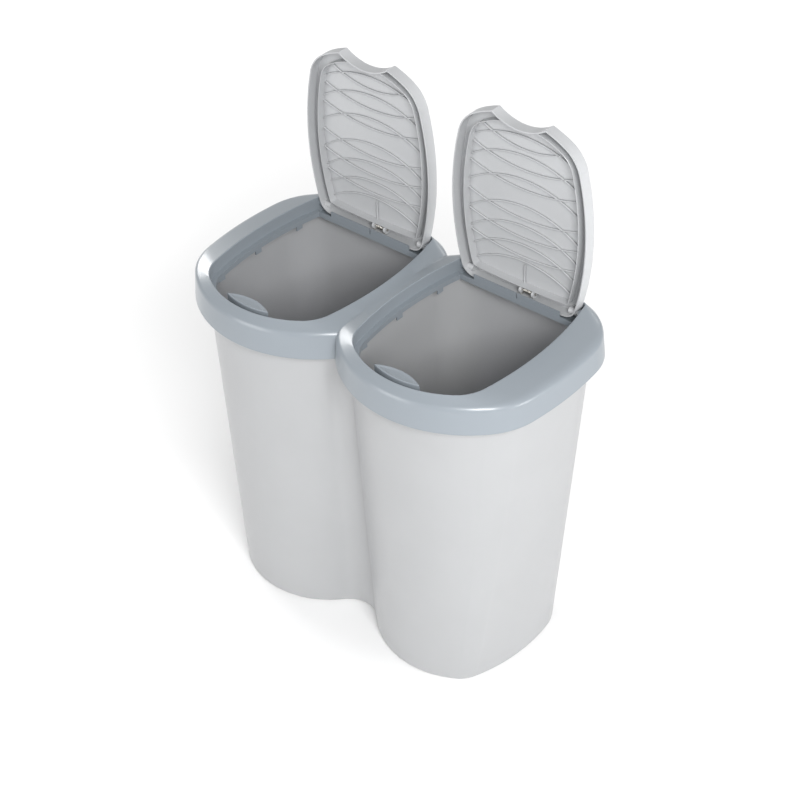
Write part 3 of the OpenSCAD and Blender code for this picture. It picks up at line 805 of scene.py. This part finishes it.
def inside(point, ring):
    """Whether a point lies inside an outline: a line to its right crosses it an odd number of times."""
    hit = False
    for (x1, y1), (x2, y2) in zip(ring, ring[1:] + ring[:1]):
        if (y1 > point[1]) != (y2 > point[1]):
            if point[0] < x1 + (point[1] - y1) * (x2 - x1) / (y2 - y1):
                hit = not hit
    return hit


def rib_paths(z):
    """Each rib's arc, kept where it lies inside the flange and clear of the notch."""
    ring = lobe(LID, FLANGE_IN + LID_WALL / 4)
    w = LID["half"] - FLANGE_IN
    paths = []
    for end, middle_share in ARCH_RIBS + SAG_RIBS:
        shares = (end, middle_share, end)
        a, b, c = [((i - 1) * w, HINGE_Y - s * LID_LENGTH) for i, s in enumerate(shares)]
        middle = centre_of(a, b, c)
        r = math.dist(middle, b)
        t1, t2 = heading(middle, a), heading(middle, c)
        if abs(t2 - t1) > math.pi:
            t2 += 2 * math.pi if t2 < t1 else -2 * math.pi
        run = []
        for i in range(RIB_POINTS + 1):
            t = mix(t1, t2, i / RIB_POINTS)
            p = (middle[0] + r * math.cos(t), middle[1] + r * math.sin(t))
            clear = math.dist(p, (0, NOTCH_Y)) > NOTCH_R + LID_WALL / 2
            if inside(p, ring) and clear:
                run.append((p[0], p[1], z))
            elif len(run) > FEWEST_POINTS:
                paths.append(run)
                run = []
            else:
                run = []
        if len(run) > FEWEST_POINTS:
            paths.append(run)
    return paths + [[(KNUCKLES[0], HINGE_Y - GUSSET[end], z) for end in ("start", "end")]]


print("ribs:", len(ARCH_RIBS), "arched and", len(SAG_RIBS), "sagging")


# %% The parts of a lid
def opened(obj, side):
    """Turns what is drawn closed to its open place over one pocket."""
    y, z = (HINGE_Y - MID_Y) * MM, HINGE_Z * MM
    turn = Matrix.Translation((side * HALF_PITCH * MM, y, z)) @ Matrix.Rotation(-math.pi / 2, 4, "X")
    obj.data.transform(turn @ Matrix.Translation((0, -y, -z)))
    return obj


def lid_cap(name):
    """The outer wall and the skin, rounded where they meet outside and filleted inside."""
    edge = [(LID_EDGE_R * inward, LID_TOP - LID_EDGE_R + LID_EDGE_R * up) for inward, up in quarter(8)]
    cap = notched(name, [(d, RIM_UNDER + z) for d, z in LID_HEM] + edge)
    mouth = LID_WALL - BEVEL
    hollow = [(mouth, RIM_UNDER - OVER), (mouth, RIM_UNDER), (LID_WALL, RIM_UNDER + BEVEL_RISE)]
    hollow += [(LID_WALL + d, LID_UNDER - z) for d, z in ROOT_FILLET]
    return combine(cap, "DIFFERENCE", [notched("hollow", hollow)])


def lid_flange():
    low = RIM_UNDER + FLANGE_SHORT
    outside = [(FLANGE_IN + FLANGE_BEVEL, low), (FLANGE_IN, low + FLANGE_BEVEL_RISE)]
    outside.append((FLANGE_IN, LID_UNDER + OVER))
    flange = loft("flange", [at_z(lobe(LID, d), z) for d, z in outside])
    inset = FLANGE_IN + LID_WALL / 2
    inside_wall = prism("inside", lobe(LID, inset), low - OVER, LID_UNDER + 2 * OVER)
    notch = disc("notch", NOTCH_Y, NOTCH_R + LID_WALL / 2, low - OVER, LID_UNDER + 2 * OVER)
    return combine(flange, "DIFFERENCE", [inside_wall, notch])


def hinge_parts():
    """Knuckles, bosses and trunnions, with the webs that carry them."""
    parts = []
    top = LID_UNDER + OVER
    for x in KNUCKLES:
        a, b = x - KNUCKLE_T / 2, x + KNUCKLE_T / 2
        parts.append(rod("knuckle", a, b, KNUCKLE_R, HINGE_Y, HINGE_Z))
        parts.append(block("web", a, b, HINGE_Y - KNUCKLE_R, HINGE_Y + KNUCKLE_R, HINGE_Z, top))
    for side in (-1, 1):
        a, b = sorted((side * BOSS["start"], side * BOSS["end"]))
        parts.append(rod("boss", a, b, BOSS["r"], HINGE_Y, HINGE_Z))
        a, b = sorted((side * BOSS["start"], side * TRUNNION_REACH))
        parts.append(rod("trunnion", a, b, TRUNNION_R, HINGE_Y, HINGE_Z))
        a, b = sorted((side * BOSS["start"], side * (BOSS["start"] + KNUCKLE_T)))
        parts.append(block("web", a, b, HINGE_Y - BOSS["r"], HINGE_Y + BOSS["r"], HINGE_Z, top))
    return parts


def make_lid(name):
    lid = lid_cap(name)
    combine(lid, "UNION", [lid_flange()])
    combine(lid, "UNION", hinge_parts())
    bore = rod("bore", -PIN_BORE_REACH, PIN_BORE_REACH, PIN_R, HINGE_Y, HINGE_Z)
    return combine(lid, "DIFFERENCE", [bore])


print("a lid is made by", [f.__name__ for f in (lid_cap, lid_flange, hinge_parts)])

# %% Build the lids
for name, side in SIDES.items():
    lid = soften(make_lid(name + "_lid_shell"), 32)
    opened(lid, side)
    finish_piece(lid, lid_plastic, "lid_plastic", name + "_lid", name + "_lid")
    paths = rib_paths(LID_UNDER - RIB_H / 2 + RIB_ROOT)
    ribs = swept(name + "_lid_ribs", paths, flat_sweep, RIB_W, RIB_H, lid_plastic)
    opened(ribs, side)
    finish_piece(ribs, lid_plastic, "lid_plastic", name + "_lid")

# %% [markdown]
# ## The push buttons
# A button is a leaf between two arcs: a bowed front that follows the lip, and a back that
# follows the notch of the closed lid. Its top is dished inside a fine raised rim, so that
# a finger finds it. A stem below it slides in a cup on the frame.

# %% Button sizes
BUTTON_HALF, BUTTON_BOW, BUTTON_RISE = 36.3, 6.4, 1.0
BUTTON_Z = LIP_Z + BUTTON_RISE
FRONT_R = (BUTTON_HALF**2 + BUTTON_BOW**2) / (2 * BUTTON_BOW)
FRONT_Y = FRONT_R - BUTTON_FRONT
NOTCH_CLEARANCE = 0.7
BACK_R = NOTCH_R - NOTCH_CLEARANCE
BUTTON_RIM = 1.4
# How far inside the rim each ring of the dish lies, and how deep.
DISH = ((3.2, 1.5), (2.0, 1.3), (0.9, 0.8))
DISH_FRONT_IN, DISH_BACK_IN = 0.6, 0.4
BORE_R, BORE_DEPTH = 3.2, 14.0
SPRING_TOP_Z = BUTTON_BASE_Z - STEM["length"] + BORE_DEPTH
print("button", 2 * BUTTON_HALF, "mm wide, pressed by", BUTTON_TRAVEL, "mm")


# %% Build the buttons
def turned(name, y, profile, steps=200):
    """A round solid about an upright axis at y, from (radius, height) pairs."""
    turn = [2 * math.pi * i / steps for i in range(steps)]
    rings = [[(r * math.cos(t), y + r * math.sin(t), z) for t in turn] for r, z in profile]
    return loft(name, rings)


def rounded_side(r, low, high, edge=1.2):
    """Profile of an upright side with softened ends, as (radius, height) pairs."""
    top = [(r - edge * inward, high - edge + edge * up) for inward, up in quarter(5)]
    return [(r - edge, low), (r - edge * 0.3, low + edge * 0.3), (r, low + edge)] + top


def make_button(name):
    button = turned(name, FRONT_Y, rounded_side(FRONT_R, BUTTON_BASE_Z, BUTTON_Z))
    back = turned("back", NOTCH_Y, rounded_side(BACK_R, BUTTON_BASE_Z, BUTTON_Z, edge=0.8))
    combine(button, "INTERSECT", [back])
    dishes = []
    for y, r in ((FRONT_Y, FRONT_R - DISH_FRONT_IN), (NOTCH_Y, BACK_R - DISH_BACK_IN)):
        low = [(r - BUTTON_RIM - reach, BUTTON_Z - depth) for reach, depth in DISH]
        rim = [(r - BUTTON_RIM, BUTTON_Z), (r - BUTTON_RIM, BUTTON_Z + OVER)]
        dishes.append(turned("dish", y, low + rim))
    combine(dishes[0], "INTERSECT", [dishes[1]])
    combine(button, "DIFFERENCE", [dishes[0]])
    half, t = STEM["w"] / 2, STEM["t"] / 2
    foot = BUTTON_BASE_Z - STEM["length"]
    stem = block("stem", -half, half, STEM["y"] - t, STEM["y"] + t, foot, BUTTON_BASE_Z + OVER)
    combine(button, "UNION", [stem])
    bore = disc("bore", STEM["y"], BORE_R, foot - OVER, SPRING_TOP_Z, steps=48)
    return combine(button, "DIFFERENCE", [bore])


for name, side in SIDES.items():
    button = soften(make_button(name + "_button_shell"), 35)
    button.data.transform(Matrix.Translation((side * HALF_PITCH * MM, 0, 0)))
    finish_piece(button, frame_plastic, "frame_plastic", name + "_button", name + "_push_button")

# %% [markdown]
# ## Springs and pins
# Each lid has a torsion spring round a steel pin between its two knuckles, and each
# button a small compression spring in its stem. Their curls are a formula: the angle and
# the place along the coil grow together. The wire sweep gives them their thickness.

# %% Spring sizes
WIRE, LEG = 1.3, 5.2
CURLS, CURL_PITCH = 6, 2.1
COIL_R = PIN_R + WIRE / 2 + GAP
COIL_START = sum(KNUCKLES) / 2 - CURLS * CURL_PITCH / 2
THIN_WIRE, THIN_COIL_R, THIN_CURLS, COIL_END_GAP = 1.0, 2.2, 7, 0.5
print("curls:", CURLS, "at a hinge and", THIN_CURLS, "under a button")


# %% Build the springs
def lid_spring_path(steps=24):
    turn = [i / steps for i in range(CURLS * steps + 1)]
    ring = [(COIL_R * math.cos(2 * math.pi * t), COIL_R * math.sin(2 * math.pi * t)) for t in turn]
    coil = [(COIL_START + t * CURL_PITCH, HINGE_Y + y, HINGE_Z + z) for t, (y, z) in zip(turn, ring)]
    first, last = coil[0], coil[-1]
    return [(first[0], first[1], first[2] - LEG)] + coil + [(last[0], last[1], last[2] + LEG)]


def button_spring_path(side, steps=24):
    low, high = CUP_FLOOR_Z + COIL_END_GAP, SPRING_TOP_Z - COIL_END_GAP
    x0, y0, r = side * HALF_PITCH, STEM["y"], THIN_COIL_R
    turn = [i / steps for i in range(THIN_CURLS * steps + 1)]
    ring = [(r * math.cos(2 * math.pi * t), r * math.sin(2 * math.pi * t)) for t in turn]
    return [(x0 + x, y0 + y, mix(low, high, t / THIN_CURLS)) for t, (x, y) in zip(turn, ring)]


for name, side in SIDES.items():
    spring = swept(name + "_lid_coil", [lid_spring_path()], round_sweep, WIRE, WIRE, spring_steel)
    spring.data.shade_smooth()
    opened(spring, side)
    finish_piece(spring, spring_steel, "spring_steel", "frame", name + "_lid_spring")
    path = button_spring_path(side)
    spring = swept(name + "_button_coil", [path], round_sweep, THIN_WIRE, THIN_WIRE, spring_steel)
    spring.data.shade_smooth()
    finish_piece(spring, spring_steel, "spring_steel", "frame", name + "_button_spring")
    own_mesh(spring)
    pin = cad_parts[name + "_spring_pin"]
    pin.data.materials.clear()
    pin.data.materials.append(spring_steel)

# %% [markdown]
# ## Floor, light and camera
# The bin stands on a pale floor in soft light. The key panel is a little to the right of
# the camera and above it, and lights the far walls of the pockets. Weaker panels in front,
# at the left and at the right brighten the walls and draw lines of light along the rounded
# edges, and one behind brightens the floor there. The camera looks from the front right
# and from above, through a long lens.

# %% Lamps and floor
def soft_panel(name, place, target, width, power):
    lamp = bpy.data.lights.new(name, "AREA")
    lamp.shape = "SQUARE"
    lamp.size = width
    lamp.energy = power
    obj = bpy.data.objects.new(name, lamp)
    obj.location = place
    obj.rotation_euler = (Vector(target) - Vector(place)).to_track_quat("-Z", "Y").to_euler()
    collection.objects.link(obj)
    return obj


def floor_material():
    mat = bpy.data.materials.new("floor_paper")
    mat.use_nodes = True
    tree = mat.node_tree
    coords = tree.nodes.new("ShaderNodeTexCoord").outputs["Object"]
    shader = tree.nodes["Principled BSDF"]
    cloud = noise(tree, coords, scale=3, detail=2)
    tone = shade_pair(tree, cloud, [0.79] * 3, [0.81] * 3)
    link(tree, tone, shader.inputs["Base Color"])
    shader.inputs["Roughness"].default_value = 0.9
    return mat


print("made for the stage:", [f.__name__ for f in (soft_panel, floor_material)])

# %% Place the floor, the lamps and the surroundings
FLOOR_HALF = 12.0
SKY_STRENGTH = 0.56
floor_mesh = bpy.data.meshes.new("floor")
corners = [(x * FLOOR_HALF, y * FLOOR_HALF, 0) for x, y in ((-1, -1), (1, -1), (1, 1), (-1, 1))]
floor_mesh.from_pydata(corners, [], [(0, 1, 2, 3)])
floor = bpy.data.objects.new("floor", floor_mesh)
floor_mesh.materials.append(floor_material())
collection.objects.link(floor)
panels = [
    soft_panel("key", (2.0, -1.5, 2.15), (0, 0, 0.4), width=1.1, power=86),
    soft_panel("front", (-1.0, -2.6, 0.8), (0, 0, 0.35), width=1.4, power=24),
    soft_panel("rim", (-2.3, 0.6, 1.2), (0, 0, 0.45), width=0.9, power=22),
    soft_panel("side", (2.6, 0.5, 0.8), (0, 0, 0.3), width=1.0, power=25),
    soft_panel("backdrop", (-1.2, 3.4, 1.6), (-1.2, 3.6, 0), width=2.4, power=60),
]

world = bpy.data.worlds.new("studio")
bpy.context.scene.world = world
world.use_nodes = True
sky = world.node_tree.nodes["Background"]
sky.inputs["Color"].default_value = (1, 1, 1, 1)
sky.inputs["Strength"].default_value = SKY_STRENGTH
bpy.context.scene.view_settings.view_transform = "Standard"
print("lamps:", [p.name for p in panels])

# %% Place the camera
# Where it stands, in millimetres and degrees, and its lens in pixels of the picture.
CAMERA = dict(focal_px=1972.9, distance=2619.2, azimuth=41.51, elevation=37.94)
CAMERA.update(shift_x=15.65, shift_y=-57.06, roll=-2.32)
AIM_Z = 400.0
PICTURE_PX = 800
SENSOR_MM = 36


def place_camera(c):
    a, e, r = [math.radians(c[k]) for k in ("azimuth", "elevation", "roll")]
    back = Vector((math.sin(a) * math.cos(e), -math.cos(a) * math.cos(e), math.sin(e)))
    right = Vector((math.cos(a), math.sin(a), 0))
    up = back.cross(right)
    across = right * math.cos(r) + up * math.sin(r)
    upward = up * math.cos(r) - right * math.sin(r)
    eye = Vector((0, -MID_Y, AIM_Z)) + back * c["distance"] + across * c["shift_x"] + upward * c["shift_y"]
    data = bpy.data.cameras.new("photo_camera")
    data.sensor_width = SENSOR_MM
    data.lens = c["focal_px"] / PICTURE_PX * SENSOR_MM
    data.clip_end = 60
    obj = bpy.data.objects.new("photo_camera", data)
    collection.objects.link(obj)
    columns = [across, upward, back, eye * MM]
    obj.matrix_world = Matrix([[col[i] for col in columns] for i in range(3)] + [[0, 0, 0, 1]])
    bpy.context.scene.camera = obj
    return obj


camera = place_camera(CAMERA)
print("camera at", [round(v, 3) for v in camera.location], "lens", round(camera.data.lens, 2))
